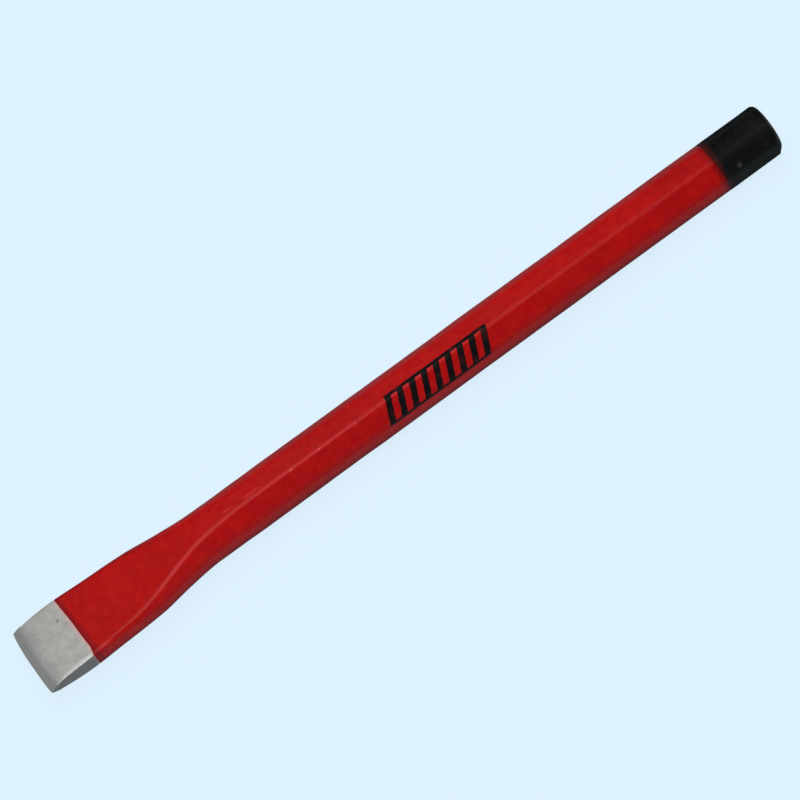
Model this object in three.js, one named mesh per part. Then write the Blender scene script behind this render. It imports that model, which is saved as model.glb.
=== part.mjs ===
// Octagonal cold chisel, 27 mm blade, 305 mm long.
// Millimetres. +X runs from the cutting edge to the struck head, with X = 0 at mid-length.
// +Z is the normal of the blade's broad flats. The tool lies with its lower octagon flat on Z = 0.
//
// Pieces:
//   steel_forging     one bar: ground blade, octagonal shank, struck head
//   red_lacquer_coat  lacquer sleeve over the shank and the rear of the blade
//   black_head_coat   lacquer cup over the struck end
//   printed_mark      printed hatch on the shank
//
// "u" is the distance from the cutting edge along the tool. "inset" is the depth below
// the outer skin. Sections are [y, z] points about the tool's axis.

import * as THREE from 'three';
import { mergeVertices } from 'three/addons/utils/BufferGeometryUtils.js';

const { clamp } = THREE.MathUtils;

// ---------------------------------------------------------------- dimensions
const LENGTH = 305;            // cutting edge to struck face
const ACROSS_FLATS = 18;       // octagon, measured over the lacquer
const SHANK_RADIUS = 1.7;      // rounding of the octagon's corners
const MIN_RADIUS = 0.01;       // least corner rounding after the inset is taken off

const COAT = 0.12;             // lacquer thickness
const COAT_GAP = 0.03;         // clearance between steel and lacquer
const STEEL_INSET = COAT + COAT_GAP;
const RAMP_START = 17.4;       // steel eases down towards the lacquer from here
const PAINT_START = 19.0;      // red lacquer begins
const HEAD_COAT_START = 281.8; // black lacquer begins
const BUTT_GAP = 0.05;         // between the red and the black lacquer

const BEVEL_LENGTH = 3.6;      // cutting bevel, along the tool
const EDGE_HALF = 0.12;        // half of the land left on the cutting edge
const EDGE_RADIUS = 0.02;      // corner rounding at the cutting edge
const EDGE_CHAMFER_RUN = 0.03; // least width of the bevel's corner chamfers
const EDGE_CHAMFER_RISE = 0.02; // their height where the bevel is thinner than the side flats

const EDGE_CROWN = 0.45;       // bow of the cutting edge
const EDGE_CORNER = 0.35;      // extra easing at the two corners of the edge
const CROWN_HALF_WIDTH = 13.6; // the bow is full at this distance from the axis
const CROWN_FADE = 14;         // the bow has gone by this u

const HEAD_CONE = 1.75;        // length of the 45 degree cone on the head
const HEAD_RADIUS = 8.0;       // radius of the flat struck face

const MARK_START = 142.6;      // u where the lower rail of the hatch begins
const MARK_LENGTH = 41.6;      // length of each rail
const MARK_HALF_HEIGHT = 5.3;  // along the skin, each way from the facet's middle
const MARK_RAIL = 1.15;        // width of its two long rails
const MARK_BARS = 9;           // slanted bars between the rails
const MARK_SLANT = 3.4;        // shear of the bars over their height
const INK = 0.03;              // ink thickness
const INK_GAP = 0.02;          // clearance between lacquer and ink

// Sections over the lacquer. Columns:
// [u, thickness, half width of the broad flat, half width overall,
//  height of the narrow side flat, corner radius]
const SECTIONS = [
  [BEVEL_LENGTH, 4.55, 12.15, 13.40, 4.10, 0.30],
  [6.5, 5.30, 12.14, 13.42, 4.90, 0.32],
  [10, 6.08, 12.14, 13.46, 5.65, 0.36],
  [14, 6.75, 12.14, 13.50, 6.25, 0.42],
  [19, 7.25, 12.07, 13.44, 6.58, 0.55],
  [28, 7.90, 11.84, 13.10, 6.25, 0.85],
  [36, 8.65, 11.60, 12.78, 6.00, 1.15],
  [42, 9.70, 10.98, 12.50, 5.92, 1.55],
  [47, 11.00, 9.95, 12.22, 5.88, 1.85],
  [50, 11.80, 9.25, 11.80, 5.88, 2.00],
  [53, 12.65, 8.62, 11.28, 5.90, 2.10],
  [57, 13.75, 7.74, 10.62, 6.00, 2.15],
  [61, 14.80, 6.78, 10.08, 6.20, 2.10],
  [66, 16.00, 5.70, 9.45, 6.60, 2.00],
  [71, 16.90, 4.98, 9.10, 6.95, 1.90],
  [77, 17.58, 4.36, 9.01, 7.25, 1.80],
  [85, 17.95, 3.80, 9.00, 7.42, 1.72],
  [95, ACROSS_FLATS, 3.728, ACROSS_FLATS / 2, 7.456, SHANK_RADIUS],
];

// Values of u at which the meshes have a ring of points
const BEVEL_STATIONS = [0, 0.9, 1.8, 2.6, 3.224, BEVEL_LENGTH];
const TIP_STATIONS = [5, 6.5, 8, 10, 12, 14, RAMP_START];
const RED_STATIONS = [
  PAINT_START, 22, 25, 28, 31, 34, 37, 39.5, 42, 44, 46, 47.5, 49, 50.5, 52, 54,
  56, 58, 60.5, 63, 66, 69, 72, 76, 80, 85, 95,
  150, 215, HEAD_COAT_START - BUTT_GAP,
];
const HEAD_STATIONS = [
  HEAD_COAT_START, 292, 301, 302.5,
  ...[HEAD_CONE, 1.45, 1.15, 0.8, 0.4].map((fromFace) => LENGTH - fromFace),
];

// Mesh density
const CORNER_STEPS = 4;        // segments round each octagon corner
const FLAT_STEPS = 10;         // segments across each broad flat
const MARK_CORNER_STEPS = 5;   // segments of the hatch round each corner

const EDGE_X = -LENGTH / 2;
const AXIS_Z = ACROSS_FLATS / 2;

// ------------------------------------------------------------------ sections
// Monotone cubic interpolation, held constant beyond both ends.
function monotone(xs, ys) {
  const last = xs.length - 1;
  const steps = [];
  const slopes = [];
  for (let i = 0; i < last; i++) {
    steps.push(xs[i + 1] - xs[i]);
    slopes.push((ys[i + 1] - ys[i]) / steps[i]);
  }
  const tangents = new Array(last + 1).fill(0);
  tangents[0] = slopes[0];
  tangents[last] = slopes[last - 1];
  for (let i = 1; i < last; i++) {
    // the tangent stays zero where the slope changes sign
    if (slopes[i - 1] * slopes[i] > 0) {
      const weightBefore = 2 * steps[i] + steps[i - 1];
      const weightAfter = steps[i] + 2 * steps[i - 1];
      tangents[i] = (weightBefore + weightAfter)
        / (weightBefore / slopes[i - 1] + weightAfter / slopes[i]);
    }
  }
  return (x) => {
    if (x <= xs[0]) return ys[0];
    if (x >= xs[last]) return ys[last];
    let i = 0;
    while (x > xs[i + 1]) i++;
    const t = (x - xs[i]) / steps[i];
    const t2 = t * t;
    const t3 = t2 * t;
    return ys[i] * (2 * t3 - 3 * t2 + 1)
      + steps[i] * tangents[i] * (t3 - 2 * t2 + t)
      + ys[i + 1] * (3 * t2 - 2 * t3)
      + steps[i] * tangents[i + 1] * (t3 - t2);
  };
}

const stationUs = SECTIONS.map((row) => row[0]);
const [thicknessAt, halfFlatAt, halfWidthAt, sideHeightAt, radiusAt] = [1, 2, 3, 4, 5]
  .map((column) => monotone(stationUs, SECTIONS.map((row) => row[column])));

function bodySizes(u) {
  return {
    halfThickness: thicknessAt(u) / 2,
    halfFlat: halfFlatAt(u),
    halfWidth: halfWidthAt(u),
    halfSide: sideHeightAt(u) / 2,
    radius: radiusAt(u),
  };
}

// The bevel thins the first section down to the edge, cutting its chamfers away first.
function bevelSizes(u) {
  const root = bodySizes(BEVEL_LENGTH);
  const halfThickness = EDGE_HALF
    + (root.halfThickness - EDGE_HALF) * (u / BEVEL_LENGTH);
  const chamferLeft = Math.max(
    0,
    (halfThickness - root.halfSide) / (root.halfThickness - root.halfSide),
  );
  const chamferRun = Math.max(EDGE_CHAMFER_RUN, (root.halfWidth - root.halfFlat) * chamferLeft);
  return {
    halfThickness,
    halfFlat: root.halfWidth - chamferRun,
    halfWidth: root.halfWidth,
    halfSide: halfThickness > root.halfSide ? root.halfSide : halfThickness - EDGE_CHAMFER_RISE,
    radius: EDGE_RADIUS + (root.radius - EDGE_RADIUS) * chamferLeft,
  };
}

// Rounded octagon, moved inward by inset. Points run from +Y over +Z to -Y and back underneath.
function section(u, inset) {
  const size = u >= BEVEL_LENGTH ? bodySizes(u) : bevelSizes(u);
  const { halfThickness, halfFlat, halfWidth, halfSide } = size;
  const corners = [
    [halfWidth, halfSide], [halfFlat, halfThickness],
    [-halfFlat, halfThickness], [-halfWidth, halfSide],
    [-halfWidth, -halfSide], [-halfFlat, -halfThickness],
    [halfFlat, -halfThickness], [halfWidth, -halfSide],
  ];
  const count = corners.length;
  const broadFlats = [1, 5];   // corners that a broad flat follows

  // outward normal of the face that follows each corner
  const normals = corners.map(([y, z], i) => {
    const [nextY, nextZ] = corners[(i + 1) % count];
    const length = Math.hypot(nextY - y, nextZ - z);
    return [(nextZ - z) / length, -(nextY - y) / length];
  });

  const radius = Math.max(size.radius - inset, MIN_RADIUS);
  const arcs = corners.map(([y, z], i) => {
    const before = normals[(i + count - 1) % count];
    const after = normals[i];
    // arc centre: the corner moved in along both neighbouring faces
    const shift = (inset + radius) / (1 + before[0] * after[0] + before[1] * after[1]);
    const centreY = y - shift * (before[0] + after[0]);
    const centreZ = z - shift * (before[1] + after[1]);
    const start = Math.atan2(before[1], before[0]);
    let end = Math.atan2(after[1], after[0]);
    if (end < start) end += 2 * Math.PI;
    return Array.from({ length: CORNER_STEPS + 1 }, (_, j) => {
      const angle = start + (end - start) * (j / CORNER_STEPS);
      return [centreY + radius * Math.cos(angle), centreZ + radius * Math.sin(angle)];
    });
  });

  return arcs.flatMap((arc, i) => {
    if (!broadFlats.includes(i)) return arc;
    const from = arc[CORNER_STEPS];
    const to = arcs[i + 1][0];
    const across = Array.from({ length: FLAT_STEPS - 1 }, (_, j) => {
      const share = (j + 1) / FLAT_STEPS;
      return [from[0] + (to[0] - from[0]) * share, from[1] + (to[1] - from[1]) * share];
    });
    return [...arc, ...across];
  });
}

// How far a point is set back from the middle of the bowed cutting edge.
function bow(y, u) {
  const across = Math.min(1, Math.abs(y) / CROWN_HALF_WIDTH);
  const fade = clamp(1 - (u - BEVEL_LENGTH) / (CROWN_FADE - BEVEL_LENGTH), 0, 1);
  const setBack = EDGE_CROWN * across ** 2 + EDGE_CORNER * across ** 12;
  return setBack * fade * fade * (3 - 2 * fade);
}

// Section at u as points in space, clipped by the head's cone, which only reaches the
// skin near the head. "place" is where the ring stands along the tool.
function ring(u, inset, place = u) {
  const coneRadius = HEAD_RADIUS + (LENGTH - u) - inset * Math.SQRT2;
  return section(u, inset).map(([y, z]) => {
    const scale = Math.min(1, coneRadius / Math.hypot(y, z));
    return [EDGE_X + place + bow(y * scale, u), y * scale, AXIS_Z + z * scale];
  });
}

const rings = (stations, inset) => stations.map((u) => ring(u, inset));

// Outline of the struck face, moved back along the tool by the inset.
const faceRing = (inset) => ring(LENGTH, inset, LENGTH - inset);

// -------------------------------------------------------------------- meshes
// Closed mesh over rows of rings. Its ends are capped, unless the last row loops to the first.
// From row "back" on, where the rows return along the inside, quads are split
// along their other diagonal, so that inner and outer facets stay parallel.
function skinMesh(rows, { loop = false, back = Infinity } = {}) {
  const ringSize = rows[0].length;
  const indices = [];
  const id = (i, j) => (i % rows.length) * ringSize + (j % ringSize);
  const bands = loop ? rows.length : rows.length - 1;
  for (let i = 0; i < bands; i++) {
    for (let j = 0; j < ringSize; j++) {
      const a = id(i, j);
      const b = id(i, j + 1);
      const c = id(i + 1, j + 1);
      const d = id(i + 1, j);
      indices.push(...(i < back ? [a, b, c, a, c, d] : [a, b, d, b, c, d]));
    }
  }
  if (!loop) {
    indices.push(...capIndices(0, ringSize, false));
    indices.push(...capIndices((rows.length - 1) * ringSize, ringSize, true));
  }
  return solidGeometry(rows.flat(2), indices);
}

// Cap made of strips between upper and lower ring points of the same y.
function capIndices(base, ringSize, forward) {
  const indices = [];
  for (let j = 0; j < ringSize / 2 - 1; j++) {
    const a = base + j;
    const b = a + 1;
    const d = base + ringSize - 1 - j;
    const c = d - 1;
    indices.push(...(forward ? [a, b, c, a, c, d] : [a, c, b, a, d, c]));
  }
  return indices;
}

// Welded geometry with no collapsed triangles, facing outward.
function solidGeometry(positions, indices) {
  const loose = new THREE.BufferGeometry();
  loose.setAttribute('position', new THREE.Float32BufferAttribute(positions, 3));
  loose.setIndex(indices);
  const geometry = mergeVertices(loose, 1e-5);

  const welded = geometry.index.array;
  const points = geometry.attributes.position;
  const triangles = [];
  const [A, B, C] = [0, 1, 2].map(() => new THREE.Vector3());
  let volume = 0;              // six times the signed volume
  for (let i = 0; i < welded.length; i += 3) {
    const [a, b, c] = welded.slice(i, i + 3);
    if (a === b || b === c || a === c) continue;
    triangles.push([a, b, c]);
    A.fromBufferAttribute(points, a);
    B.fromBufferAttribute(points, b);
    C.fromBufferAttribute(points, c);
    volume += A.dot(B.cross(C));
  }
  geometry.setIndex(triangles.flatMap(([a, b, c]) => (volume < 0 ? [a, c, b] : [a, b, c])));
  geometry.computeVertexNormals();
  return geometry;
}

// -------------------------------------------------------------------- pieces
// Bare at the tip, set in under the lacquer elsewhere.
function steelForging() {
  const insetAt = (u) => (
    STEEL_INSET * clamp((u - RAMP_START) / (PAINT_START - RAMP_START), 0, 1)
  );
  const stations = [...BEVEL_STATIONS, ...TIP_STATIONS, ...RED_STATIONS, ...HEAD_STATIONS];
  return skinMesh([...stations.map((u) => ring(u, insetAt(u))), faceRing(STEEL_INSET)]);
}

// Sleeve: out along the skin and back along the inside.
function redLacquerCoat() {
  const outer = rings(RED_STATIONS, 0);
  const inner = rings(RED_STATIONS, COAT).reverse();
  return skinMesh([...outer, ...inner], { loop: true, back: outer.length });
}

// Cup: from the struck face along the outside to the rim, then back along the inside.
function blackHeadCoat() {
  const outer = [...rings(HEAD_STATIONS, 0), faceRing(0)].reverse();
  const inner = [...rings(HEAD_STATIONS, COAT), faceRing(COAT)];
  return skinMesh([...outer, ...inner]);
}

// Half length of a shank facet's flat part, and the skin length of a rounded corner
const FACET_HALF = (ACROSS_FLATS / 2 - SHANK_RADIUS) * Math.tan(Math.PI / 8);
const CORNER_ARC = SHANK_RADIUS * Math.PI / 4;

// Point [y, z] at a height above the shank's skin. "along" is measured over the skin from
// the middle of the facet between the upper flat and the -Y side flat, + downwards.
function skinPoint(along, lift) {
  const facetAngle = 3 * Math.PI / 4;
  const apothem = ACROSS_FLATS / 2;
  const place = (angle, out, sideways) => [
    out * Math.cos(angle) - sideways * Math.sin(angle),
    out * Math.sin(angle) + sideways * Math.cos(angle),
  ];
  const side = Math.sign(along);
  const distance = Math.abs(along);
  if (distance <= FACET_HALF) return place(facetAngle, apothem + lift, along);
  if (distance <= FACET_HALF + CORNER_ARC) {
    const angle = facetAngle + side * (distance - FACET_HALF) / SHANK_RADIUS;
    const centre = place(facetAngle, apothem - SHANK_RADIUS, side * FACET_HALF);
    const [y, z] = place(angle, SHANK_RADIUS + lift, 0);
    return [centre[0] + y, centre[1] + z];
  }
  return place(
    facetAngle + side * Math.PI / 4,
    apothem + lift,
    side * (distance - 2 * FACET_HALF - CORNER_ARC),
  );
}

// Printed hatch: two rails joined by slanted bars, wrapped over the facet and its corners.
function printedMark() {
  const railInner = MARK_HALF_HEIGHT - MARK_RAIL;
  // rows follow the skin, with extra rows on the two rounded corners
  const halfRows = [1.5, railInner, MARK_HALF_HEIGHT];
  for (let k = 0; k <= MARK_CORNER_STEPS; k++) {
    halfRows.push(FACET_HALF + (CORNER_ARC * k) / MARK_CORNER_STEPS);
  }
  const rows = [...halfRows.map((v) => -v), 0, ...halfRows].sort((p, q) => p - q);
  // columns bound bars and gaps of equal width, starting and ending with a bar
  const cellColumns = 2 * MARK_BARS - 1;
  const cellLength = MARK_LENGTH / cellColumns;

  const lean = (v) => (
    MARK_SLANT * (railInner - clamp(v, -railInner, railInner)) / (2 * railInner)
  );
  const point = ([i, j], lift) => [
    EDGE_X + MARK_START + j * cellLength + lean(rows[i]),
    skinPoint(rows[i], lift)[0],
    AXIS_Z + skinPoint(rows[i], lift)[1],
  ];
  const inked = (i, j) => {
    if (i < 0 || j < 0 || i >= rows.length - 1 || j >= cellColumns) return false;
    const onRail = Math.abs((rows[i] + rows[i + 1]) / 2) > railInner;
    return onRail || j % 2 === 0;
  };

  const positions = [];
  const indices = [];
  const quad = (...points) => {
    const base = positions.length / 3;
    positions.push(...points.flat());
    indices.push(...[0, 1, 2, 0, 2, 3].map((k) => base + k));
  };
  const bottom = (node) => point(node, INK_GAP);
  const top = (node) => point(node, INK_GAP + INK);
  for (let i = 0; i < rows.length - 1; i++) {
    for (let j = 0; j < cellColumns; j++) {
      if (!inked(i, j)) continue;
      const nodes = [[i, j], [i, j + 1], [i + 1, j + 1], [i + 1, j]];
      const neighbours = [[i - 1, j], [i, j + 1], [i + 1, j], [i, j - 1]];
      quad(...nodes.map(top));
      quad(...nodes.map(bottom).reverse());
      // walls only where the ink ends
      neighbours.forEach((neighbour, k) => {
        if (inked(...neighbour)) return;
        const from = nodes[k];
        const to = nodes[(k + 1) % 4];
        quad(bottom(from), bottom(to), top(to), top(from));
      });
    }
  }
  return solidGeometry(positions, indices);
}

// ------------------------------------------------------------------ assembly
const chisel = new THREE.Group();
chisel.name = 'cold_chisel';

function addPart(name, geometry, look) {
  const material = new THREE.MeshStandardMaterial({ name, ...look });
  const mesh = new THREE.Mesh(geometry, material);
  mesh.name = name;
  chisel.add(mesh);
}

addPart('steel_forging', steelForging(), { color: 0x9c9d9b, roughness: 0.42, metalness: 0.9 });
addPart('red_lacquer_coat', redLacquerCoat(), { color: 0xb01014, roughness: 0.32, metalness: 0 });
addPart('black_head_coat', blackHeadCoat(), { color: 0x17181a, roughness: 0.5, metalness: 0 });
addPart('printed_mark', printedMark(), { color: 0x121212, roughness: 0.55, metalness: 0 });

export default chisel;
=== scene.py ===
"""A forged hand tool lying on a pale floor: flat blade, octagonal shank, black head.

The tool lies along X with its cutting edge at -X and its head at +X, and rests on z = 0.
The broad flats of the blade face up and down, its width runs along Y, and the camera
looks from the -Y side, so "near" means -Y and "far" means +Y. Geometry is worked out in
millimetres. "along" is always the distance from the cutting edge.
"""
import math

import bmesh
import bpy
import numpy as np
from mathutils import Matrix, Vector


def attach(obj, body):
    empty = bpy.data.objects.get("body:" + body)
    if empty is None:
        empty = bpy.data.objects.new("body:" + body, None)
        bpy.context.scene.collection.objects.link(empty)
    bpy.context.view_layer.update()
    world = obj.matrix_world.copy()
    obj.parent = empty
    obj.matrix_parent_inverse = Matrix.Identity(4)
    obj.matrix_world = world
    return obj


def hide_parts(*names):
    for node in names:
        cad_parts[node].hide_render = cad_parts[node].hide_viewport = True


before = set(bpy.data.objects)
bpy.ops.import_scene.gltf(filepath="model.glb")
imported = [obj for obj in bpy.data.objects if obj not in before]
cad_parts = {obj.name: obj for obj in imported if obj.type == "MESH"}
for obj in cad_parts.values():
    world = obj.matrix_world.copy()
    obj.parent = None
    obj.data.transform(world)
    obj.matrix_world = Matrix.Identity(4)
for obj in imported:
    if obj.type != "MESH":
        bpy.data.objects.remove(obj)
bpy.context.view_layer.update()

# --------------------------------------------------------------- dimensions
MM = 0.001
LENGTH = 305.0
# distance from the cutting edge, thickness, half broad flat, half width,
# narrow side flat, corner radius
STATIONS = np.array([
    [3.6, 4.55, 12.15, 13.40, 4.10, 0.30],
    [6.5, 5.30, 12.14, 13.42, 4.90, 0.32],
    [10, 6.08, 12.14, 13.46, 5.65, 0.36],
    [14, 6.75, 12.14, 13.50, 6.25, 0.42],
    [19, 7.25, 12.07, 13.44, 6.58, 0.55],
    [28, 7.90, 11.84, 13.10, 6.25, 0.85],
    [36, 8.65, 11.60, 12.78, 6.00, 1.15],
    [42, 9.70, 10.98, 12.50, 5.92, 1.55],
    [47, 11.00, 9.95, 12.22, 5.88, 1.85],
    [50, 11.80, 9.25, 11.80, 5.88, 2.00],
    [53, 12.65, 8.62, 11.28, 5.90, 2.10],
    [57, 13.75, 7.74, 10.62, 6.00, 2.15],
    [61, 14.80, 6.78, 10.08, 6.20, 2.10],
    [66, 16.00, 5.70, 9.45, 6.60, 2.00],
    [71, 16.90, 4.98, 9.10, 6.95, 1.90],
    [77, 17.58, 4.36, 9.01, 7.25, 1.80],
    [85, 17.95, 3.80, 9.00, 7.42, 1.72],
    [95, 18.00, 3.728, 9.00, 7.456, 1.70],
])
BEVEL = STATIONS[0, 0]             # length of the cutting bevel
SHANK_HALF = STATIONS[-1, 1] / 2   # from the shank's axis to its flats
SHANK_RADIUS = STATIONS[-1, 5]
AXIS_Z = SHANK_HALF                # height of the shank's axis

EDGE_HALF = 0.12                   # half thickness of the cutting edge itself
EDGE_RADIUS = 0.02
EASE = 0.33                        # taken off each flat where the bevel ends
EASE_START, EASE_END = 1.6, 8.0

PAINT_START = 19.0                 # front edge of the red lacquer
PAINT_FADE = PAINT_START + 2.5     # where its wander has died out
HEAD_START = 281.8                 # front edge of the black lacquer
PAINT_X = PAINT_START - LENGTH / 2
HEAD_X = HEAD_START - LENGTH / 2
COAT = 0.12                        # lacquer thickness
GAP = 0.03                         # between the steel and the lacquer's inside
HEAD_RADIUS = 8.12                 # of the cone ground on the head, at its end
CONE_LENGTH = 3
CONE_OFFSET = np.array([0.43, 0.26])   # the cone sits a little off the bar's axis

# How much rounder than nominal each of the eight edges is, from the far side edge
# over the top to the near side edge and back below.
ROUND_BLADE = np.array([0.5, 0.2, 0.7, 0.5, 0.0, 0.0, 0.0, 0.0])
ROUND_SHANK = np.array([0.3, 1.7, 0.75, 1.6, 0.0, 0.0, 0.0, 0.3])
ROUND_HEAD = np.array([0.3, 1.1, 1.3, 1.3, 0.0, 0.0, 0.0, 0.3])

# Mesh steps round the section
CORNER_STEPS, FLAT_STEPS, SIDE_STEPS = 8, 26, 7

FORGE_HEIGHT = 0.045               # broad unevenness of the lacquered bar
SKIN_HEIGHT = 0.0055               # fine unevenness of the lacquer


# ------------------------------------------------------------------ section
def monotone(xs, ys):
    """Monotone cubic through the points, constant beyond both ends."""
    steps = np.diff(xs)
    slopes = np.diff(ys) / steps
    tangents = np.zeros(len(xs))
    tangents[0], tangents[-1] = slopes[0], slopes[-1]
    for i in range(1, len(xs) - 1):
        before, after = slopes[i - 1], slopes[i]
        if before * after > 0:
            weight_before = 2 * steps[i] + steps[i - 1]
            weight_after = steps[i] + 2 * steps[i - 1]
            tangents[i] = (weight_before + weight_after) / (
                weight_before / before + weight_after / after)

    def value(x):
        if x <= xs[0]:
            return float(ys[0])
        if x >= xs[-1]:
            return float(ys[-1])
        i = int(np.searchsorted(xs, x, side="left")) - 1
        part = (x - xs[i]) / steps[i]
        square, cube = part * part, part * part * part
        return float(
            ys[i] * (2 * cube - 3 * square + 1)
            + steps[i] * tangents[i] * (cube - 2 * square + part)
            + ys[i + 1] * (3 * square - 2 * cube)
            + steps[i] * tangents[i + 1] * (cube - square)
        )
    return value


PROFILE = [monotone(STATIONS[:, 0], STATIONS[:, column]) for column in range(1, 6)]


def unit(value):
    return np.clip(value, 0.0, 1.0)


def smooth(start, end, value):
    """Smooth step from 0 at start to 1 at end."""
    part = unit((value - start) / (end - start))
    return part * part * (3 - 2 * part)


def sizes(along):
    """Half thickness, half flat, half width, half side and corner radius."""
    if along >= BEVEL:
        thickness, flat, width, side, radius = [curve(along) for curve in PROFILE]
        half = thickness / 2
        if along < EASE_END:
            half -= EASE * (1 - (along - BEVEL) / (EASE_END - BEVEL)) ** 2
        return half, flat, width, side / 2, radius
    _, thickness, flat, width, side, radius = STATIONS[0]
    half = EDGE_HALF + (thickness / 2 - EDGE_HALF) * (along / BEVEL)
    if along > EASE_START:
        half -= EASE * ((along - EASE_START) / (BEVEL - EASE_START)) ** 2
    low = side / 2 - 0.25
    grown = max(0.0, (half - low) / (thickness / 2 - EASE - low))
    chamfer = max(0.03, (width - flat) * grown)
    half_side = low if half > low else half - min(0.02, half * 0.2)
    return (half, width - chamfer, width, half_side,
            EDGE_RADIUS + (radius - EDGE_RADIUS) * grown)


def rounding(along):
    lacquered = smooth(20, 30, along)
    shank = smooth(34, 60, along)
    head = smooth(284, 291, along)
    return (ROUND_BLADE * (1 - shank) + ROUND_SHANK * shank * (1 - head)
            + ROUND_HEAD * head) * lacquered


def section(along, inset=0.0):
    """Rows of y, z, normal y, normal z round the section, about the bar's axis."""
    thick, flat, width, side, radius = sizes(along)
    corners = [(width, side), (flat, thick), (-flat, thick), (-width, side),
               (-width, -side), (-flat, -thick), (flat, -thick), (width, -side)]
    lengths, normals = [], []
    for start, end in zip(corners, corners[1:] + corners[:1]):
        run, rise = end[0] - start[0], end[1] - start[1]
        length = math.hypot(run, rise)
        lengths.append(length)
        normals.append((rise / length, -run / length))

    # how much of its two edges each nominal corner takes up
    bite = []
    for i in range(8):
        before, after = normals[i - 1], normals[i]
        cosine = before[0] * after[0] + before[1] * after[1]
        bite.append(radius * math.sqrt(max(0.0, (1 - cosine) / (1 + cosine))))
    # the share of the extra rounding that each edge has room for
    extra = rounding(along)
    room = []
    for i in range(8):
        j = (i + 1) % 8
        more = extra[i] * bite[i] + extra[j] * bite[j]
        spare = 0.9 * lengths[i] - bite[i] - bite[j]
        room.append(min(1.0, max(0.0, spare / more)) if more > 0 else 1.0)

    arcs = []
    for i in range(8):
        rounded = max(radius * (1 + extra[i] * min(room[i - 1], room[i])) - inset, 0.01)
        before, after = normals[i - 1], normals[i]
        scale = 1 + before[0] * after[0] + before[1] * after[1]
        centre_y = corners[i][0] - (inset + rounded) * (before[0] + after[0]) / scale
        centre_z = corners[i][1] - (inset + rounded) * (before[1] + after[1]) / scale
        first = math.atan2(before[1], before[0])
        last = math.atan2(after[1], after[0])
        while last < first:
            last += 2 * math.pi
        arc = []
        for j in range(CORNER_STEPS + 1):
            angle = first + (last - first) * j / CORNER_STEPS
            cosine, sine = math.cos(angle), math.sin(angle)
            arc.append((centre_y + rounded * cosine, centre_z + rounded * sine, cosine, sine))
        arcs.append(arc)

    points = []
    for i in range(8):
        points += arcs[i]
        start, end = arcs[i][-1], arcs[(i + 1) % 8][0]
        steps = FLAT_STEPS if i in (1, 5) else SIDE_STEPS
        for j in range(1, steps):
            part = j / steps
            points.append((start[0] + (end[0] - start[0]) * part,
                           start[1] + (end[1] - start[1]) * part, start[2], start[3]))
    points = np.array(points)
    if along > LENGTH - CONE_LENGTH:
        cone = HEAD_RADIUS + (LENGTH - along) - inset * math.sqrt(2)
        spokes = points[:, :2] - CONE_OFFSET
        reach = np.hypot(spokes[:, 0], spokes[:, 1])
        shrink = np.where(reach > cone, cone / reach, 1.0)
        points[:, :2] = CONE_OFFSET + spokes * shrink[:, None]
    return points


def bow(y, along):
    """Shift along x that bows the cutting edge forward in the middle."""
    wide = np.minimum(1, np.abs(y) / 13.6)
    # ground a touch further back towards +Y
    skew = 0.30 * unit(y / 12.0) ** 2 - 0.22 * unit(-y / 12.0) ** 2
    return (0.45 * wide * wide + 0.35 * wide ** 12 + skew) * (1 - smooth(BEVEL, 14, along))


def lean(along):
    """The blade sits a third of a millimetre to the near side of the shank."""
    return -0.31 * (1 - smooth(44, 68, along))


# ------------------------------------------------------- forged unevenness
def waves(count, low, high, seed):
    """Plane waves of random direction, with lengths between low and high."""
    rng = np.random.default_rng(seed)
    bank = []
    for _ in range(count):
        direction = rng.normal(size=3)
        direction /= np.linalg.norm(direction)
        length = low * (high / low) ** rng.random()
        phase = rng.random() * 2 * math.pi
        bank.append((direction * 2 * math.pi / length, phase, length ** 0.5))
    total = sum(wave[2] for wave in bank)
    return [(vector, phase, weight / total) for vector, phase, weight in bank]


FORGE = waves(count=26, low=9.0, high=46.0, seed=11)
SKIN = waves(count=40, low=1.6, high=5.5, seed=23)
RED_EDGE = waves(count=9, low=7.0, high=30.0, seed=31)
BLACK_EDGE = waves(count=9, low=6.0, high=26.0, seed=37)
DENTS = waves(count=14, low=2.5, high=9.0, seed=61)
INK_EDGE = waves(count=30, low=0.7, high=3.0, seed=53)
ACROSS = np.array([0, 1, 1])       # leaves x out, so a front edge varies only across


def field(points, bank):
    total = np.zeros(len(points))
    for vector, phase, weight in bank:
        total += weight * np.sin(points @ vector + phase)
    return total * math.sqrt(len(bank)) * 0.9


# --------------------------------------------------------- rings and meshes
def to_object(name, verts, faces):
    """Smooth-shaded object from points in mm, with doubles merged and normals outward."""
    mesh = bpy.data.meshes.new(name)
    mesh.from_pydata((np.asarray(verts) * MM).tolist(), [], faces)
    mesh.validate()
    work = bmesh.new()
    work.from_mesh(mesh)
    bmesh.ops.remove_doubles(work, verts=work.verts, dist=1e-8)
    bmesh.ops.recalc_face_normals(work, faces=work.faces)
    if work.calc_volume(signed=True) < 0:
        bmesh.ops.reverse_faces(work, faces=work.faces)
    work.to_mesh(mesh)
    work.free()
    for polygon in mesh.polygons:
        polygon.use_smooth = True
    return link(name, mesh)


def link(name, data):
    obj = bpy.data.objects.new(name, data)
    bpy.context.scene.collection.objects.link(obj)
    return obj


def loft(rings, name, close=False):
    """Mesh through rings of equal length, capped in strips, or joined end to end if close."""
    size, count = len(rings[0]), len(rings)
    faces = []
    for i in range(count if close else count - 1):
        here, there = i * size, ((i + 1) % count) * size
        for j in range(size):
            k = (j + 1) % size
            faces.append((here + j, here + k, there + k, there + j))
    if not close:
        for base, forward in ((0, False), ((count - 1) * size, True)):
            for j in range(size // 2 - 1):
                quad = (base + j, base + j + 1, base + size - 2 - j, base + size - 1 - j)
                faces.append(quad if forward else quad[::-1])
    return to_object(name, np.concatenate(rings), faces)


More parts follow.
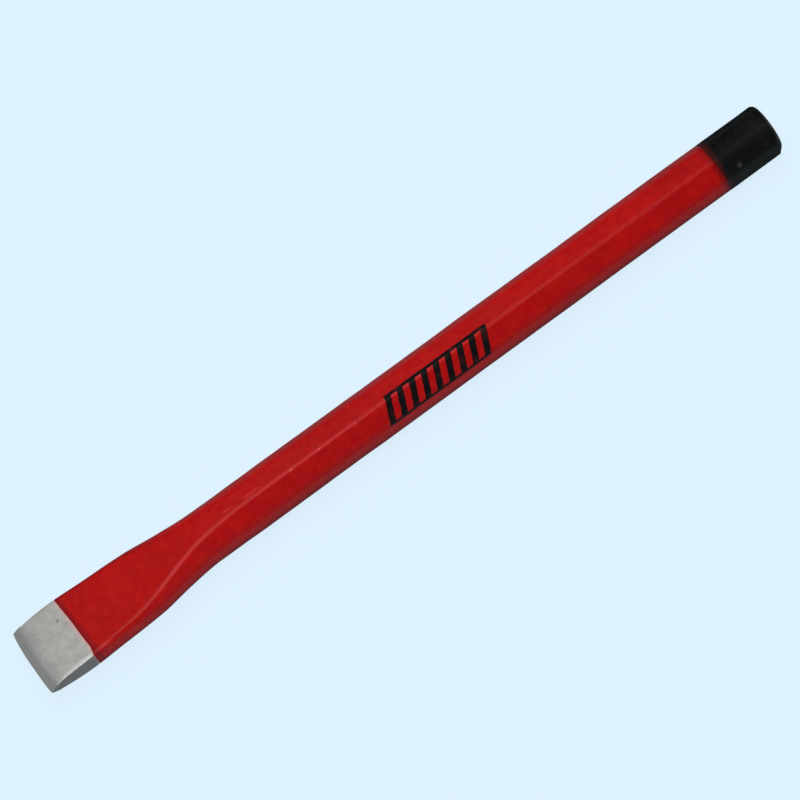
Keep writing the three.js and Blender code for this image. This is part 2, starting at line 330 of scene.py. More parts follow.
def ring(along, inset=0.0, forge=0.0, skin=0.0, shift=None, lift=0.0):
    """Ring of the tool's surface. lift moves it along its normals, shift along x."""
    y, z, normal_y, normal_z = section(along, inset).T
    # both corners of the cutting edge are left a little proud
    flare = (1 - smooth(0.5, 4.5, along)) * (
        0.32 * unit((y - 9.0) / 4.0) - 0.18 * unit((-y - 9.0) / 4.0))
    points = np.stack([along - LENGTH / 2 + bow(y, along), y + lean(along) + flare,
                       AXIS_Z + z], 1)
    normals = np.stack([np.zeros(len(y)), normal_y, normal_z], 1)
    offset = forge * field(points, FORGE) + skin * field(points, SKIN) + lift
    # the flat the tool rests on stays flat
    offset *= 1 - unit((-normal_z - 0.80) / 0.17)
    points = points + normals * offset[:, None]
    if shift is not None:
        points[:, 0] += shift(points, along)
    return points


def end_ring(inset=0.0, x=0.0, scale=1.0):
    """Flat ring of the head's end outline, x measured from the end of the tool."""
    outline = section(LENGTH, inset)
    return np.stack([np.full(len(outline), LENGTH / 2 + x), outline[:, 0] * scale,
                     AXIS_Z + outline[:, 1] * scale], 1)


def above(points, height):
    """Keep the ring from sinking below a height."""
    points[:, 2] = np.maximum(points[:, 2], height)
    return points


# -------------------------------------------------------------------- steel
def red_wander(points):
    """How far the lacquer's front edge stands back from square across the blade."""
    y = points[:, 1]
    dip = 0.75 * unit((-y - 8.5) / 4.5) ** 2
    return 0.13 * field(points * ACROSS, RED_EDGE) - 0.034 * y + 0.12 - dip


def red_front(points, along):
    return red_wander(points) * (1 - smooth(PAINT_START, PAINT_FADE, along))


def steel_front(points, along):
    """The steel's rings follow the lacquer's edge from a little before it."""
    return red_front(points, along) * smooth(15.0, 18.3, along)


def build_steel():
    """Bare tip at full size, then smaller by the lacquer and gap out to the head."""
    stations = np.concatenate([
        [0, 0.35, 0.9, 1.5, 2.1, 2.509, 2.8, 3.1, 3.3, 3.45, 3.53, 3.6, 3.68, 3.8],
        np.arange(4.1, 17.8, 0.45), [17.9, 18.3, 18.5, 18.75, 19.0, 19.3],
        np.arange(20.5, 95, 1.5), np.arange(97, 281, 8.0),
        [285, 291, 297, 301.0, 302.5, 303.25, 303.9, 304.5],
    ])
    rings = [
        ring(along, inset=(COAT + GAP) * unit((along - 18.3) / 0.7), shift=steel_front,
             forge=0.018 * smooth(BEVEL, 7.0, along) * (1 - smooth(15, 19, along)))
        for along in stations
    ]
    rings.append(end_ring(inset=COAT + GAP, x=-COAT - GAP))
    return loft(rings, "steel_body")


# -------------------------------------------------------------- red lacquer
def red_bead(along):
    """A bead just behind the lacquer's front edge, and a nose thinning into the edge."""
    behind = along - PAINT_START
    return (0.055 * math.exp(-((behind - 0.55) / 0.38) ** 2)
            - 0.115 * max(0.0, 1 - behind / 0.28) ** 2)


def build_red():
    end = HEAD_START + 1.1
    outer_stations = np.concatenate([
        PAINT_START + np.array([0, 0.03, 0.07, 0.12, 0.18, 0.26, 0.36, 0.5, 0.66, 0.85,
                                1.1, 1.4, 1.8, 2.3]),
        np.arange(22.3, 96, 0.75), np.arange(96.4, 280.6, 1.1), [281.0, 281.2, end],
    ])
    inner_stations = np.concatenate([
        [19.0, 19.6, 20.4, 21.2], np.arange(22.2, 96, 2.2), np.arange(98, 279, 9.0), [end]])
    outer = [ring(along, forge=FORGE_HEIGHT, skin=SKIN_HEIGHT, shift=red_front,
                  lift=red_bead(along)) for along in outer_stations]
    # under the black cup the sleeve is a touch thinner where the tool rests
    above(outer[-1], 0.08)
    above(outer[-2], 0.08)
    inner = [ring(along, inset=COAT, shift=red_front) for along in inner_stations[::-1]]
    return loft(outer + inner, "red_lacquer", close=True)


# ------------------------------------------------------- black head lacquer
def black_front(points, along):
    """The cup's front edge is a little out of square."""
    angle = np.arctan2(points[:, 2] - AXIS_Z, points[:, 1])
    return (0.12 * field(points * ACROSS, BLACK_EDGE) + 0.16
            - 0.36 * unit(np.sin(angle)) ** 4) * (
        1 - smooth(HEAD_START, HEAD_START + 3.0, along))


def black_lift(along):
    behind = along - HEAD_START
    return 0.014 + 0.03 * smooth(0, 0.8, behind) * (1 - smooth(2.0, 6.0, behind))


def struck(scale):
    """Ring of the end face, faintly uneven inside its rim."""
    points = end_ring(scale=scale)
    points[:, 0] += 0.035 * (field(points, DENTS) - 0.8) * (1 - smooth(0.80, 0.97, scale))
    return points


def build_black():
    """Cup over the head: inside from the end face to the front edge, then outside back."""
    rings = [end_ring(inset=COAT, x=-COAT, scale=scale) for scale in (0.05, 0.5, 1.0)]
    rings += [ring(along, inset=COAT, shift=black_front)
              for along in (304.6, 303.9, 303.25, 302.5, 300, 295, 290, 285, HEAD_START + 1.6)]
    # where the cup laps the red sleeve, its inside follows the red's outer skin
    for lap in (1.45, 1.1, 0.8, 0.5, 0.25, 0.1, 0.0):
        rings.append(above(ring(HEAD_START + lap, forge=FORGE_HEIGHT, skin=SKIN_HEIGHT,
                                shift=black_front, lift=0.007), 0.06))
    outer_stations = np.concatenate([
        HEAD_START + np.array([0, 0.06, 0.14, 0.26, 0.45, 0.8, 1.2, 1.7, 2.4]),
        np.arange(284.9, 301.8, 0.8),
        [302.2, 302.6, 302.95, 303.15, 303.28, 303.42, 303.6, 303.85, 304.1, 304.35,
         304.6, 304.78],
    ])
    rings += [ring(along, forge=FORGE_HEIGHT * (1 - smooth(298, 303, along)),
                   skin=SKIN_HEIGHT * (1 - smooth(301, 304, along)),
                   shift=black_front, lift=black_lift(along)) for along in outer_stations]
    # the rounded rim, then the end face
    rings += [end_ring(x=x, scale=scale)
              for x, scale in ((-0.10, 7.96 / 7.9), (-0.03, 7.84 / 7.9), (0.0, 0.97))]
    rings += [struck(scale)
              for scale in (0.93, 0.88, 0.82, 0.75, 0.67, 0.58, 0.48, 0.38, 0.27, 0.16, 0.05)]
    return loft(rings, "black_head_lacquer")


# ------------------------------------------------------------ printed hatch
MARK_START, MARK_LENGTH, MARK_HALF = 142.6, 41.6, 5.3
MARK_RAIL, MARK_BARS, MARK_SLANT = 1.15, 9, 3.4
INK_BASE, INK_RIM, INK_TOP = 0.003, 0.012, 0.028    # heights over the lacquer
# edge radii beside the upper near facet, towards the top and towards the side
EDGE_ROUND = SHANK_RADIUS * (1 + ROUND_SHANK[2:4])


def polar(angle, depth, slide=0.0):
    """Point at a depth along a direction and a slide square to it, and the direction."""
    normal = np.array([0, math.cos(angle), math.sin(angle)])
    tangent = np.array([0, -normal[2], normal[1]])
    return normal * depth + tangent * slide, normal


def skin_point(along, over):
    """Point and normal of the straight shank's nominal skin.

    over runs round the skin from the middle of the upper near facet."""
    facet = 3 * math.pi / 4
    sign, reach = (1 if over >= 0 else -1), abs(over)
    radius = EDGE_ROUND[1 if over >= 0 else 0]
    half = (SHANK_HALF - radius) * math.tan(math.pi / 8)
    arc = radius * math.pi / 4
    if reach <= half:
        point, normal = polar(facet, SHANK_HALF, over)
    elif reach <= half + arc:
        centre, _ = polar(facet, SHANK_HALF - radius, sign * half)
        spoke, normal = polar(facet + sign * (reach - half) / radius, radius)
        point = centre + spoke
    else:
        point, normal = polar(facet + sign * math.pi / 4, SHANK_HALF,
                              sign * (reach - 2 * half - arc))
    return point + np.array([along - LENGTH / 2, 0, AXIS_Z]), normal


def build_hatch():
    """Ink draped over the uneven lacquer: two rails joined by slanted bars."""
    inside = MARK_HALF - MARK_RAIL
    rail = np.linspace(0, MARK_RAIL, 5)
    rows = np.concatenate([-MARK_HALF + rail[:-1], np.linspace(-inside, inside, 41),
                           inside + rail[1:]])
    pitch = MARK_LENGTH / (MARK_BARS - 0.5)
    columns, in_bar = [], []
    for bar in range(MARK_BARS):
        start = MARK_START + bar * pitch
        columns += list(start + pitch * 0.5 * np.linspace(0, 1, 7))
        in_bar += [True] * 6
        if bar < MARK_BARS - 1:
            columns += list(start + pitch * (0.5 + 0.5 * np.linspace(0, 1, 7))[1:-1])
            in_bar += [False] * 6
    last_row, last_column = len(rows) - 1, len(columns) - 1

    def solid(i, j):
        if i < 0 or j < 0 or i >= last_row or j >= last_column:
            return False
        return abs((rows[i] + rows[i + 1]) / 2) > inside or in_bar[j]

    cells = [(i, j) for i in range(last_row) for j in range(last_column) if solid(i, j)]
    nodes = sorted({(i + a, j + b) for i, j in cells for a in (0, 1) for b in (0, 1)})
    points, normals = [], []
    for i, j in nodes:
        shear = MARK_SLANT * (np.clip(rows[i], -inside, inside) + inside) / (2 * inside)
        point, normal = skin_point(columns[j] + MARK_SLANT - shear, rows[i])
        points.append(point)
        normals.append(normal)
    points, normals = np.array(points), np.array(normals)
    # the ends of the bars are a little ragged
    points[:, 0] += 0.055 * field(points, INK_EDGE)
    skin = FORGE_HEIGHT * field(points, FORGE) + SKIN_HEIGHT * field(points, SKIN)
    on_rim = np.array([not all(solid(i - a, j - b) for a in (0, 1) for b in (0, 1))
                       for i, j in nodes])
    base = points + normals * (skin + INK_BASE)[:, None]
    top = points + normals * (skin + np.where(on_rim, INK_RIM, INK_TOP))[:, None]

    index = {node: k for k, node in enumerate(nodes)}
    count = len(nodes)
    faces = []
    for i, j in cells:
        quad = [index[i, j], index[i, j + 1], index[i + 1, j + 1], index[i + 1, j]]
        faces.append(tuple(k + count for k in quad))
        faces.append(tuple(quad[::-1]))
        beside = ((i - 1, j), (i, j + 1), (i + 1, j), (i, j - 1))
        for start, end, cell in zip(quad, quad[1:] + quad[:1], beside):
            if not solid(*cell):
                faces.append((start, end, end + count, start + count))
    return to_object("printed_hatch", np.concatenate([base, top]), faces)


steel = build_steel()
red = build_red()
black = build_black()
ink = build_hatch()


# --------------------------------------------------------------- node calls
def linear(rgb):
    """Linear RGBA from 0-255 sRGB."""
    parts = [channel / 255 for channel in rgb]
    return (*[part / 12.92 if part <= 0.04045 else ((part + 0.055) / 1.055) ** 2.4
              for part in parts], 1.0)


class Nodes:
    """Short calls that add nodes to a tree. Each value may be a number or a socket."""

    def __init__(self, tree):
        self.tree = tree

    def add(self, kind):
        return self.tree.nodes.new("ShaderNode" + kind)

    def put(self, socket, value):
        if isinstance(value, bpy.types.NodeSocket):
            self.tree.links.new(value, socket)
        else:
            socket.default_value = value

    def separate(self, vector):
        node = self.add("SeparateXYZ")
        self.put(node.inputs[0], vector)
        return list(node.outputs)

    def ramp(self, value, span=(0.0, 1.0), to=(0.0, 1.0), smoothed=True):
        """Map span to the range to, held beyond its ends."""
        node = self.add("MapRange")
        node.interpolation_type = "SMOOTHSTEP" if smoothed else "LINEAR"
        for socket, setting in zip(node.inputs, (value, *span, *to)):
            self.put(socket, setting)
        return node.outputs[0]

    def emission(self, colour, strength=1.0):
        node = self.add("Emission")
        self.put(node.inputs["Color"], colour)
        self.put(node.inputs["Strength"], strength)
        return node.outputs[0]

    def blend(self, *settings):
        """Mix two shaders: factor, first, second."""
        node = self.add("MixShader")
        for socket, setting in zip(node.inputs, settings):
            self.put(socket, setting)
        return node.outputs[0]


class Material(Nodes):
    """A Principled material whose colour is built up coat by coat."""

    def __init__(self, name, rgb=(0, 0, 0)):
        self.data = bpy.data.materials.new(name)
        self.data.use_nodes = True
        super().__init__(self.data.node_tree)
        self.bsdf = self.tree.nodes["Principled BSDF"]
        self.coord = self.add("TexCoord").outputs["Object"]
        self.colour = linear(rgb)

    def set(self, **settings):
        for name, value in settings.items():
            self.put(self.bsdf.inputs[name.replace("_", " ")], value)

    def math(self, operation, *values, clamp=False):
        node = self.add("Math")
        node.operation = operation
        node.use_clamp = clamp
        for socket, value in zip(node.inputs, (*values, 0.0, 0.0)):
            self.put(socket, value)
        return node.outputs[0]

    def plus(self, first, second):
        return self.math("ADD", first, second)

    def minus(self, first, second):
        return self.math("SUBTRACT", first, second)

    def times(self, product, *factors):
        for factor in factors:
            product = self.math("MULTIPLY", product, factor)
        return product

    def length(self, *parts):
        squares = [self.math("POWER", part, 2.0) for part in parts]
        total = squares.pop()
        while squares:
            total = self.plus(squares.pop(), total)
        return self.math("SQRT", total)

    def band(self, value, rise, fall):
        """1 between the two spans, fading to 0 over each."""
        return self.times(self.ramp(value, span=rise), self.ramp(value, span=fall, to=(1, 0)))

    def place(self, axes=(0, 1, 2)):
        """Object coordinates in mm."""
        parts = self.separate(self.coord)
        return [self.times(parts[axis], 1000.0) for axis in axes]

    def normal(self):
        return self.separate(self.add("TexCoord").outputs["Normal"])

    def facing(self):
        node = self.add("LayerWeight")
        node.inputs["Blend"].default_value = 0.5
        return node.outputs["Facing"]

    def noise(self, scale, detail=3.0, rough=0.6, stretch=(1, 1, 1), offset=0.0):
        mapping = self.add("Mapping")
        self.put(mapping.inputs[0], self.coord)
        mapping.inputs["Location"].default_value = (offset, offset * 0.7, offset * 1.3)
        mapping.inputs["Scale"].default_value = stretch
        node = self.add("TexNoise")
        self.put(node.inputs["Vector"], mapping.outputs[0])
        node.inputs["Scale"].default_value = scale
        node.inputs["Detail"].default_value = detail
        node.inputs["Roughness"].default_value = rough
        return node.outputs[0]

    def ragged(self, value, by, **noise):
        """Value with noise added, to make an outline ragged."""
        return self.plus(value, self.times(self.minus(self.noise(rough=0.55, **noise), 0.5), by))

    def dots(self, scale, span):
        """Round dots, 1 at their centres."""
        node = self.add("TexVoronoi")
        node.inputs["Scale"].default_value = scale
        self.put(node.inputs["Vector"], self.coord)
        return self.ramp(node.outputs["Distance"], span=span, to=(1, 0))

    def paint(self, amount, rgb):
        """Lay a colour over what is there."""
        node = self.add("Mix")
        node.data_type = "RGBA"
        self.put(node.inputs[0], amount)
        self.put(node.inputs[6], self.colour)
        self.put(node.inputs[7], linear(rgb))
        self.colour = node.outputs[2]

    def mottle(self, rgb, span, amount=1.0, **noise):
        """Paint through a noise, and return the noise."""
        pattern = self.noise(**noise)
        self.paint(self.ramp(pattern, span=span, to=(0, amount)), rgb)
        return pattern

    def bump(self, height, strength, distance, under=None):
        node = self.add("Bump")
        node.inputs["Strength"].default_value = strength
        node.inputs["Distance"].default_value = distance
        self.put(node.inputs["Height"], height)
        if under is not None:
            self.put(node.inputs["Normal"], under)
        return node.outputs[0]


# ---------------------------------------------------------------- materials
LACQUER_IOR = 1.46
PAINT_SKEW = 0.032    # mm the red's front edge runs forward per mm towards +Y

# x, radius of the small painted highlight spots on the red crest
CREST_BEADS = ((-45.4, 0.55), (-33.8, 0.34), (-19.3, 0.36))
# x, y, radius, depth of colour of the rust spots on the upper flat
RUST = ((-136.9, 5.3, 0.62, 0.62), (-135.2, 2.6, 0.9, 0.22), (-146.1, 6.8, 0.5, 0.3))


def red_crest_highlights_and_scuff(mat, x, y, z, normal_y, normal_z):
    """Painted highlight along the crest between the two upper near facets, with painted
    highlight spots on it, and a scuff line painted lighter as the faint highlight it catches.
    """
    near = mat.times(normal_y, -1.0)
    quiet = mat.band(x, rise=(-75.0, -70.0), fall=(-62.0, -57.0))
    # painted highlight: the crest is painted lighter, fading towards the head and where the
    # scuff runs
    crest_highlight = mat.times(
        mat.band(near, rise=(0.10, 0.32), fall=(0.44, 0.66)),
        mat.ramp(normal_z, span=(0.1, 0.3)),
        mat.ramp(x, span=(-110.0, -96.0)),
        mat.ramp(x, span=(0.0, 70.0), to=(0.9, 0.15)),
        mat.ramp(mat.noise(scale=240, offset=2.6), span=(0.30, 0.62), to=(0.55, 1.15)),
        mat.minus(1.0, mat.times(quiet, 0.75)))
    mat.paint(crest_highlight, rgb=(184, 13, 15))
    # painted highlight spots along the crest
    for bead_x, radius in CREST_BEADS:
        away = mat.length(mat.minus(x, bead_x), mat.plus(y, 3.75))
        away = mat.ragged(away, by=0.4, scale=1300, detail=2, offset=bead_x)
        highlight_bead = mat.ramp(away, span=(radius * 0.35, radius * 1.3), to=(0.75, 0.0))
        mat.paint(mat.times(highlight_bead, mat.ramp(z, span=(15.0, 16.5))), rgb=(206, 80, 76))
    # the scuff is a thin line along x in two lengths, painted lighter as the faint highlight it
    # catches
    line = mat.ragged(mat.plus(y, 1.9), by=0.8, scale=90, detail=2, offset=6.6)
    lengths = mat.math("MAXIMUM", mat.band(x, rise=(-73.0, -71.0), fall=(-69.5, -67.5)),
                       mat.band(x, rise=(-64.0, -62.0), fall=(-58.5, -56.5)))
    broken = mat.ramp(mat.noise(scale=500), span=(0.35, 0.60), to=(0.35, 1.0))
    scuff_and_glint = mat.times(
        mat.ramp(mat.math("ABSOLUTE", line), span=(0.05, 0.60), to=(1.0, 0.0)), lengths,
        mat.times(mat.ramp(z, span=(15.0, 16.5)), broken))
    mat.paint(scuff_and_glint, rgb=(192, 44, 43))


def red_shade(mat, z, normal_z):
    """Darker where the tool rolls under towards the floor, and at a shallow angle."""
    closeness = mat.add("AmbientOcclusion")
    closeness.samples = 8
    closeness.inputs["Distance"].default_value = 0.022
    enclosed = mat.math("SUBTRACT", 1.0, closeness.outputs["AO"], clamp=True)
    low = mat.ramp(z, span=(4.2, 12.0), to=(1.0, 0.08))
    mat.paint(mat.math("MINIMUM", mat.times(enclosed, low, 1.15), 0.62), rgb=(66, 5, 10))
    mat.paint(mat.times(mat.ramp(z, span=(4.8, 9.0), to=(0.60, 0.0)),
                        mat.ramp(normal_z, span=(-0.45, -0.10))), rgb=(60, 4, 10))
    mat.paint(mat.ramp(mat.facing(), span=(0.50, 0.90), to=(0.0, 0.38)), rgb=(96, 6, 10))


def red_material():
    mat = Material("red_lacquer", rgb=(162, 3, 4))
    x, y, z = mat.place()
    _, normal_y, normal_z = mat.normal()
    mat.mottle((177, 5, 5), span=(0.35, 0.65), scale=34, rough=0.5)
    mat.mottle((164, 3, 6), span=(0.40, 0.70), amount=0.35, scale=60, detail=4,
               stretch=(0.25, 1, 1), offset=1.7)
    fine = mat.mottle((184, 9, 9), span=(0.35, 0.65), amount=0.30, scale=420, offset=3.1)
    mat.mottle((150, 4, 6), span=(0.40, 0.62), amount=0.36, scale=900, offset=10.0)
    tint = mat.mottle((184, 18, 6), span=(0.45, 0.68), amount=0.42, scale=330, detail=2,
                      rough=0.5, offset=16.0)
    mat.paint(mat.ramp(tint, span=(0.55, 0.32), to=(0, 0.38)), rgb=(164, 3, 17))
    red_crest_highlights_and_scuff(mat, x, y, z, normal_y, normal_z)
    # painted shade: the blade's far chamfer, turned away from the light, is painted darker
    mat.paint(mat.times(mat.ramp(normal_y, span=(0.10, 0.32)),
                        mat.ramp(normal_z, span=(0.0, 0.2)),
                        mat.ramp(x, span=(-88.0, -110.0), to=(0.0, 0.55))), rgb=(104, 6, 10))
    # thin black lacquer fading over the red just before the head
    fade = mat.ramp(mat.ragged(x, by=1.6, scale=300, detail=2),
                    span=(HEAD_X - 2.6, HEAD_X + 0.3))
    mat.paint(mat.times(fade, 0.66), rgb=(60, 6, 9))
    # painted shade: the upper far facets are darker just short of the head
    mat.paint(mat.times(mat.ramp(x, span=(96.0, 124.0), to=(0.0, 0.20)),
                        mat.ramp(y, span=(-4.0, 1.0))), rgb=(110, 6, 8))
    # deeper red where the lacquer is thick at its front edge
    front = mat.ramp(mat.plus(x, mat.times(y, PAINT_SKEW)),
                     span=(PAINT_X + 0.8, PAINT_X + 2.8), to=(1.0, 0.0))
    mat.paint(mat.times(front, 0.80), rgb=(122, 8, 15))
    red_shade(mat, z, normal_z)
    # the upward faces, sides, far faces and head end each have their own gloss
    sides = mat.ramp(z, span=(12.5, 7.0), to=(0.10, 0.20))
    gloss = mat.math("MULTIPLY_ADD", mat.minus(0.155, sides),
                     mat.ramp(normal_z, span=(0.25, 0.62)), sides)
    gloss = mat.times(gloss, mat.ramp(normal_y, span=(0.25, 0.60), to=(1.0, 0.62)),
                      mat.ramp(x, span=(10.0, 60.0), to=(1.0, 0.86)))
    rough = mat.plus(
        mat.ramp(mat.noise(scale=90, detail=4, offset=5.0), span=(0.3, 0.7), to=(0.27, 0.34)),
        mat.ramp(fine, span=(0.3, 0.7), to=(-0.02, 0.03)))
    coarse = mat.bump(mat.noise(scale=520, detail=2, rough=0.5, offset=2.0),
                      strength=0.16, distance=0.0003)
    relief = mat.bump(mat.noise(scale=1500, detail=2, rough=0.5, offset=7.0),
                      strength=0.05, distance=0.0001, under=coarse)
    mat.set(Base_Color=mat.colour, Roughness=rough, Normal=relief, IOR=LACQUER_IOR,
            Specular_IOR_Level=gloss)
    return mat.data


def black_material():
    mat = Material("black_lacquer", rgb=(2, 3, 3))
    x, y, z = mat.place()
    normal_x = mat.normal()[0]
    mat.mottle((10, 11, 10), span=(0.38, 0.62), scale=70, rough=0.5)
    mat.mottle((19, 21, 19), span=(0.42, 0.72), amount=0.50, scale=600, offset=2.3)
    # painted highlight: a broad satin sheen painted lighter over the crest between the top and
    # the upper near facet
    painted_sheen = mat.times(mat.band(y, rise=(2.5, -2.0), fall=(-4.6, -6.4)),
                      mat.ramp(z, span=(13.5, 16.0), to=(0.0, 0.36)))
    mat.paint(painted_sheen, rgb=(23, 25, 22))
    # thin at its front edge, where the red below shows through
    mat.paint(mat.ramp(mat.ragged(x, by=2.4, scale=320),
                       span=(HEAD_X + 0.1, HEAD_X + 2.4), to=(0.78, 0.0)), rgb=(66, 5, 5))
    # one pale chip on the upper near facet
    away = mat.length(*[mat.minus(part, centre)
                        for part, centre in ((x, 135.9), (y, -8.1), (z, 13.6))])
    away = mat.ragged(away, by=0.7, scale=1100, detail=2)
    mat.paint(mat.ramp(away, span=(0.15, 1.25), to=(0.8, 0.0)), rgb=(72, 58, 52))
    # the end face is scuffed, and its rim is rubbed
    scuffs = mat.ramp(mat.noise(scale=230, detail=4, rough=0.65, offset=21.0),
                      span=(0.42, 0.66), to=(0.35, 0.9))
    mat.paint(mat.times(mat.ramp(normal_x, span=(0.85, 0.97)), scuffs), rgb=(40, 40, 38))
    rim = mat.times(
        mat.band(normal_x, rise=(0.60, 0.80), fall=(0.86, 0.96)),
        mat.ramp(mat.noise(scale=520, offset=17.0), span=(0.40, 0.58), to=(0.10, 0.75)))
    mat.paint(rim, rgb=(78, 75, 71))
    # a few specks where the film is broken
    specks = mat.times(
        mat.dots(scale=190, span=(0.05, 0.10)),
        mat.ramp(mat.noise(scale=120, detail=1, rough=0.5, offset=9.0), span=(0.62, 0.66)))
    mat.paint(specks, rgb=(120, 112, 104))
    rough = mat.ramp(mat.noise(scale=160, detail=4, offset=4.0),
                     span=(0.3, 0.7), to=(0.42, 0.56))
    relief = mat.bump(mat.noise(scale=480, offset=2.0), strength=0.16, distance=0.0004)
    gloss = mat.ramp(mat.facing(), span=(0.42, 0.78), to=(0.17, 0.02))
    mat.set(Base_Color=mat.colour, Roughness=rough, Normal=relief, IOR=LACQUER_IOR,
            Specular_IOR_Level=gloss)
    return mat.data


def steel_material():
    mat = Material("ground_steel", rgb=(193, 193, 188))
    x, y, z = mat.place()
    normal_x, normal_y, _ = mat.normal()
    broad = mat.mottle((207, 206, 201), span=(0.3, 0.7), scale=80, rough=0.55, offset=2.0)
    grind = mat.mottle((168, 168, 165), span=(0.35, 0.65), amount=0.09, scale=900,
                       rough=0.55, stretch=(0.035, 1, 1))
    mat.mottle((166, 165, 162), span=(0.38, 0.66), amount=0.44, scale=420, detail=4,
               rough=0.65, offset=6.0)
    mat.mottle((176, 182, 174), span=(0.48, 0.66), amount=0.34, scale=240, offset=14.0)
    mat.mottle((196, 188, 184), span=(0.45, 0.70), amount=0.22, scale=190, detail=2,
               rough=0.5, offset=8.0)
    pits = mat.times(
        mat.dots(scale=210, span=(0.08, 0.20)),
        mat.ramp(mat.noise(scale=90, detail=1, rough=0.5, offset=12.0), span=(0.60, 0.64)),
        0.7)
    mat.paint(pits, rgb=(96, 92, 86))
    # the narrow sides are darker than the ground flats, partly their own unground finish and
    # partly painted shade for the dark reflections they show
    mat.paint(mat.ramp(mat.math("ABSOLUTE", normal_y), span=(0.62, 0.86)),
              rgb=(132, 127, 125))
    # painted shade: the short cutting bevel is darker too
    mat.paint(mat.ramp(mat.math("ABSOLUTE", normal_x), span=(0.12, 0.44)),
              rgb=(164, 164, 163))
    # painted highlight: a bright narrow glint band painted on the long near edges
    painted_glint = mat.times(
        mat.band(mat.times(normal_y, -1.0), rise=(0.08, 0.20), fall=(0.45, 0.62)),
        mat.ramp(mat.math("ABSOLUTE", normal_x), span=(0.15, 0.30), to=(1.0, 0.0)))
    mat.paint(painted_glint, rgb=(193, 193, 189))
    # a breath of red overspray just short of the lacquer's edge
    edge = mat.plus(mat.plus(x, mat.times(y, PAINT_SKEW)), -0.12)
    mat.paint(mat.ramp(mat.ragged(edge, by=0.7, scale=500, offset=1.0),
                       span=(PAINT_X - 1.5, PAINT_X - 0.5), to=(0.0, 0.50)),
              rgb=(240, 176, 170))
    for spot_x, spot_y, radius, depth in RUST:
        away = mat.length(mat.minus(x, spot_x), mat.minus(y, spot_y))
        away = mat.ragged(away, by=0.5, scale=900, offset=spot_y)
        spot = mat.ramp(away, span=(radius * 0.3, radius * 1.25), to=(depth, 0.0))
        mat.paint(mat.times(spot, mat.ramp(z, span=(9.0, 10.0))), rgb=(92, 90, 84))
    fine_grind = mat.noise(scale=2600, detail=2, rough=0.5, stretch=(0.03, 1, 1), offset=4.0)
    rough = mat.plus(mat.ramp(broad, span=(0.3, 0.7), to=(0.38, 0.44)),
                     mat.ramp(fine_grind, span=(0.3, 0.7), to=(-0.05, 0.06)))
    coarse = mat.bump(grind, strength=0.10, distance=0.0002)
    relief = mat.bump(fine_grind, strength=0.06, distance=0.0001, under=coarse)
    mat.set(Base_Color=mat.colour, Metallic=0.5, Roughness=rough, Normal=relief)
    return mat.data


def ink_material():
    mat = Material("black_ink", rgb=(13, 6, 6))
    # red shows where the ink covers thinly
    cover = mat.mottle((84, 8, 12), span=(0.50, 0.72), amount=0.55, scale=260, detail=4,
                       rough=0.65)
    fine = mat.mottle((46, 7, 10), span=(0.55, 0.75), amount=0.4, scale=900, offset=3.0)
    mat.set(Base_Color=mat.colour, IOR=LACQUER_IOR, Specular_IOR_Level=0.18,
            Roughness=mat.ramp(cover, span=(0.3, 0.7), to=(0.42, 0.52)),
            Normal=mat.bump(fine, strength=0.15, distance=0.0002))
    return mat.data


for piece, material, node, slot in (
    (steel, steel_material(), "steel_forging", "ground_steel"),
    (red, red_material(), "red_lacquer_coat", "red_lacquer"),
    (black, black_material(), "black_head_coat", "black_lacquer"),
    (ink, ink_material(), "printed_mark", "black_ink"),
):
    piece.data.materials.append(material)
    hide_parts(node)
    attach(piece, "root")

for piece in (steel, black):
    piece.data.set_sharp_from_angle(angle=math.radians(38))


# -------------------------------------------------------------------- floor
FLOOR_HALF, FLOOR_Z = 4.0, -0.00012      # metres, a hair below the tool


def floor_material():
    """Nearly even pale glow to the camera, plain to diffuse rays, dim to glossy rays."""
    mat = Material("floor")
    mat.set(Base_Color=(0.66, 0.80, 0.90, 1), Roughness=0.9, Specular_IOR_Level=0.0)
    rays = mat.add("LightPath").outputs
    matte = mat.bsdf.outputs[0]
    pale = mat.blend(0.92, matte, mat.emission(colour=(0.744, 0.897, 1.006, 1)))
    y, = mat.place(axes=(1,))
    # glossy rays see a dim glow that fades further towards +Y, a painted shade in the tool's
    # reflections
    dim = mat.emission(colour=(0.33, 0.38, 0.41, 1),
                       strength=mat.ramp(y, span=(-8.0, 26.0), to=(1.0, 0.52)))
    plain = mat.blend(rays["Is Diffuse Ray"], pale, matte)
    mat.put(mat.tree.nodes["Material Output"].inputs["Surface"],
            mat.blend(rays["Is Glossy Ray"], plain, dim))
    return mat.data


floor_mesh = bpy.data.meshes.new("floor")
floor_mesh.from_pydata([(x * FLOOR_HALF, y * FLOOR_HALF, FLOOR_Z)
                        for x, y in ((-1, -1), (1, -1), (1, 1), (-1, 1))], [], [(0, 1, 2, 3)])
floor = link("floor", floor_mesh)
floor_mesh.materials.append(floor_material())


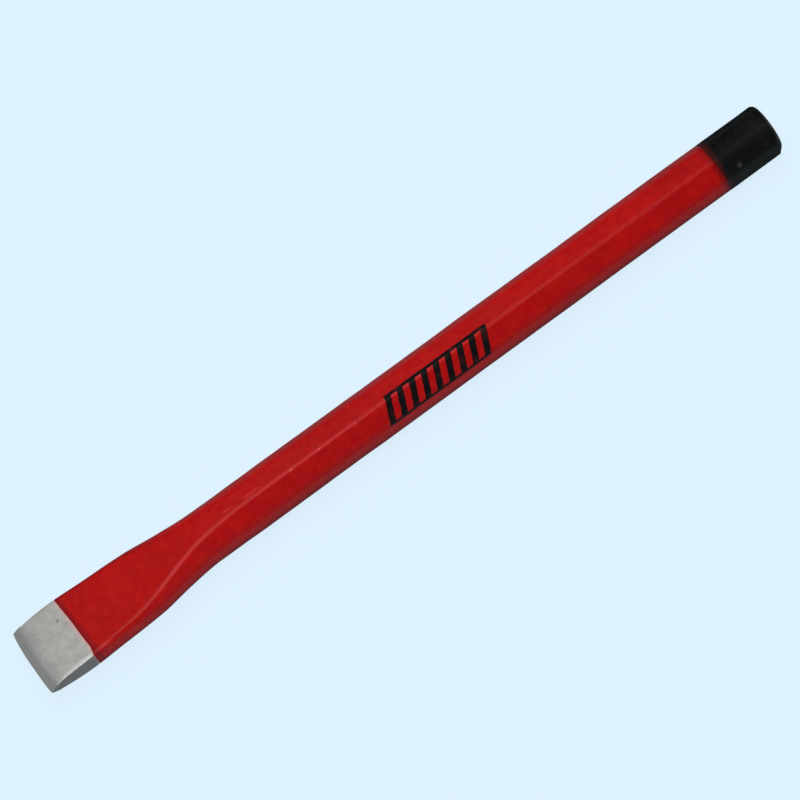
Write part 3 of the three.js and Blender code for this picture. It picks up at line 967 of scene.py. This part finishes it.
# --------------------------------------------------------- world and lights
def build_world():
    world = bpy.data.worlds.new("studio")
    bpy.context.scene.world = world
    world.use_nodes = True
    sky = Nodes(world.node_tree)
    rays = sky.add("LightPath").outputs
    height = sky.separate(sky.add("TexCoord").outputs["Generated"])[2]
    # glossy rays see a sky that is brighter low down, the rest an even one
    sheen = sky.ramp(height, span=(0.02, 0.36), to=(0.62, 0.11))
    strength = sky.ramp(rays["Is Glossy Ray"], to=(0.52, sheen), smoothed=False)
    light = sky.tree.nodes["Background"]
    light.inputs["Color"].default_value = (0.95, 0.98, 1.0, 1)
    sky.put(light.inputs["Strength"], strength)
    # the camera sees the floor's own colour
    backdrop = sky.add("Background")
    backdrop.inputs["Color"].default_value = (0.7370, 0.8870, 0.9950, 1)
    sky.put(sky.tree.nodes["World Output"].inputs["Surface"],
            sky.blend(rays["Is Camera Ray"], light.outputs[0], backdrop.outputs[0]))


def area(name, at, aim, size, power):
    """Rectangular light, in metres and watts, that the camera does not see."""
    data = bpy.data.lights.new(name, "AREA")
    data.shape = "RECTANGLE"
    data.size, data.size_y = size
    data.energy = power
    light = link(name, data)
    light.location = at
    light.rotation_mode = "QUATERNION"
    light.rotation_quaternion = (Vector(aim) - Vector(at)).to_track_quat("-Z", "Y")
    light.visible_camera = False
    return light


build_world()
key = area("key", at=(0.14, 0.08, 1.50), aim=(0.02, 0, 0), size=(1.3, 1.0), power=13.9)
key.visible_glossy = False
strip = area("strip", at=(-0.32, -0.33, 1.50), aim=(-0.1, 0, 0), size=(1.0, 0.55), power=7.2)
strip.visible_diffuse = False
panel = area("panel", at=(0.0, 0.95, 1.50), aim=(0, 0, 0), size=(2.4, 1.4), power=1.2)
panel.visible_diffuse = False

# ------------------------------------------------------------------- camera
CAMERA_AT = Vector((-108.823, -745.424, 1222.671)) * MM
CAMERA_AIM = Vector((-1.8775, -1.4017, 9.0)) * MM
CAMERA_ROLL = 0.50733              # radians about the line of sight
SENSOR_WIDTH, FOCAL_LENGTH = 36.0, 192.7755

forward = (CAMERA_AIM - CAMERA_AT).normalized()
level = forward.cross(Vector((0, 0, 1))).normalized()
upright = level.cross(forward)
right = level * math.cos(CAMERA_ROLL) - upright * math.sin(CAMERA_ROLL)
up = level * math.sin(CAMERA_ROLL) + upright * math.cos(CAMERA_ROLL)
camera_data = bpy.data.cameras.new("camera")
camera_data.sensor_width = SENSOR_WIDTH
camera_data.lens = FOCAL_LENGTH
camera_data.clip_start, camera_data.clip_end = 0.05, 20
camera = link("camera", camera_data)
camera.matrix_world = Matrix((
    *[(right[i], up[i], -forward[i], CAMERA_AT[i]) for i in range(3)],
    (0, 0, 0, 1),
))
bpy.context.scene.camera = camera

view = bpy.context.scene.view_settings
view.view_transform = "Standard"
view.look = "None"
view.exposure = 0.0
view.gamma = 1.0
